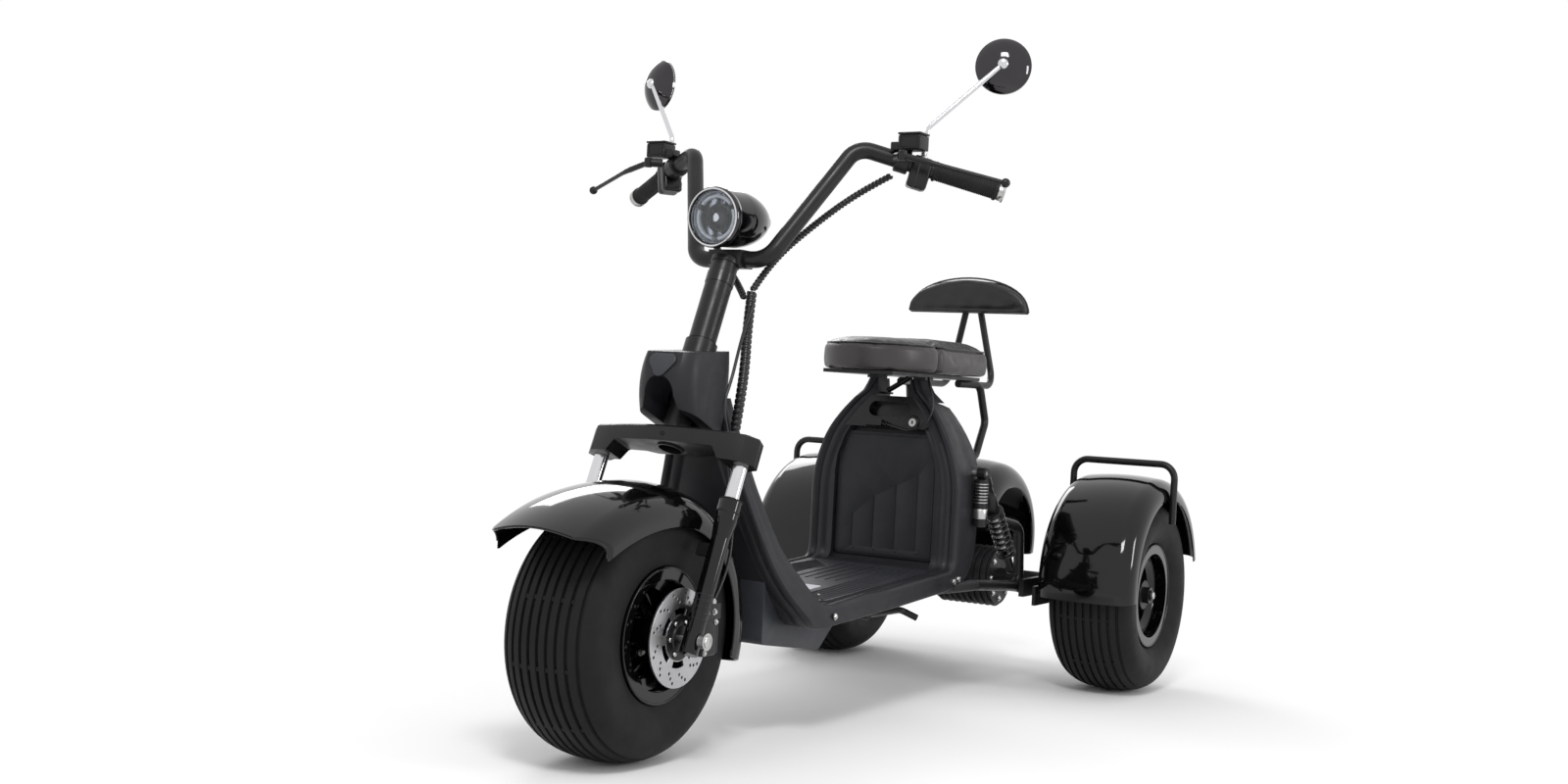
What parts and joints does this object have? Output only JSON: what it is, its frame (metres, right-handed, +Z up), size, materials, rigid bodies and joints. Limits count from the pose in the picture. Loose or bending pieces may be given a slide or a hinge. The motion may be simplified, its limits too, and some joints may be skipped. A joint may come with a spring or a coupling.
{
  "type": "three-wheeled electric scooter",
  "caption": "Seated fat-tyre electric scooter with a raked front fork, high handlebar, flat footboard, battery riser, two-part seat with backrest and fendered rear wheels.",
  "frame": {"origin": "on the ground under the middle of the overall length and width", "axes": "+X towards the rider's left, +Y towards the rear, +Z up"},
  "size_m": [1.0324, 1.9563, 1.3581],
  "materials": {
    "tyre_rubber": "matt black ribbed tread",
    "gloss_black": "gloss black paint",
    "satin_black": "satin black powder coat",
    "body_plastic": "fine grained dark plastic",
    "grey_panel": "dark grey moulded plastic",
    "gloss_plastic": "gloss black plastic",
    "mat_rubber": "grooved floor mat",
    "grip_rubber": "soft grip",
    "loom_sleeve": "spiral wrapped sleeve",
    "bright_chrome": "polished chrome",
    "dark_chrome": "dark chrome",
    "brushed_disc": "brushed stainless steel",
    "zinc": "zinc plated steel",
    "cast_aluminium": "cast aluminium",
    "plate_aluminium": "sanded light aluminium",
    "seat_leather": "black brown leatherette",
    "lens_glass": "clear lens",
    "mirror_silver": "mirror glass"
  },
  "bodies": {
    "chassis": {"head_tube": "satin_black", "neck_cover": "body_plastic", "badge_plate": "grey_panel", "body_shell": "body_plastic", "floor_mat": "mat_rubber", "foot_plate": "plate_aluminium", "belly_pan": "grey_panel", "battery_case": "body_plastic", "battery_top": "gloss_plastic", "battery_plug": "gloss_plastic", "battery_lead": "loom_sleeve", "key_lock": "zinc", "saddle": "seat_leather", "rear_seat": "seat_leather", "seat_support": "satin_black", "backrest_pad": "seat_leather", "backrest_frame": "satin_black", "rear_axle": "satin_black", "drive_motor": "cast_aluminium", "rear_frame": "satin_black", "shock_absorbers": "dark_chrome", "rear_fenders": "gloss_black", "centre_fender": "gloss_black", "fender_hoops": "satin_black", "fender_brackets": "satin_black"},
    "steering": {"steering_stem": "satin_black", "fork_crown": "satin_black", "fork_tubes": "bright_chrome", "fork_lowers": "gloss_black", "front_axle": "zinc", "front_fender": "gloss_black", "fender_stays": "satin_black", "brake_caliper": "satin_black", "handlebar": "satin_black", "bar_clamp": "satin_black", "headlight_shell": "dark_chrome", "headlight_bezel": "bright_chrome", "headlight_lens": "lens_glass", "grips": "grip_rubber", "switch_housings": "gloss_plastic", "brake_levers": "satin_black", "mirror_stems": "bright_chrome", "mirror_heads": "dark_chrome", "mirror_glasses": "mirror_silver", "wiring_branches": "loom_sleeve", "wiring_loom": "loom_sleeve", "brake_hose": "loom_sleeve"},
    "front_wheel": {"tyre_front": "tyre_rubber", "rim_front": "gloss_black", "brake_disc": "brushed_disc"},
    "rear_wheel_left": {"tyre_left": "tyre_rubber", "rim_left": "gloss_black"},
    "rear_wheel_right": {"tyre_right": "tyre_rubber", "rim_right": "gloss_black"},
    "side_stand": {"side_stand": "satin_black"}
  },
  "joints": [
    {"name": "steer", "type": "hinge", "parent": "chassis", "child": "steering", "pos_m": [0, -0.54546, 0.67274], "axis": [0, 0.3907, 0.9205], "range_deg": [-35, 35], "deforming": ["wiring_loom"]},
    {"name": "front_wheel_spin", "type": "hinge", "parent": "steering", "child": "front_wheel", "pos_m": [0, -0.725, 0.2275], "axis": [1, 0, 0], "continuous": true},
    {"name": "rear_left_spin", "type": "hinge", "parent": "chassis", "child": "rear_wheel_left", "pos_m": [0.385, 0.725, 0.2275], "axis": [1, 0, 0], "continuous": true},
    {"name": "rear_right_spin", "type": "hinge", "parent": "chassis", "child": "rear_wheel_right", "pos_m": [-0.385, 0.725, 0.2275], "axis": [1, 0, 0], "continuous": true},
    {"name": "stand_fold", "type": "hinge", "parent": "chassis", "child": "side_stand", "pos_m": [0.12, -0.04, 0.208], "axis": [-1, 0, 0], "range_deg": [0, 90]}
  ]
}
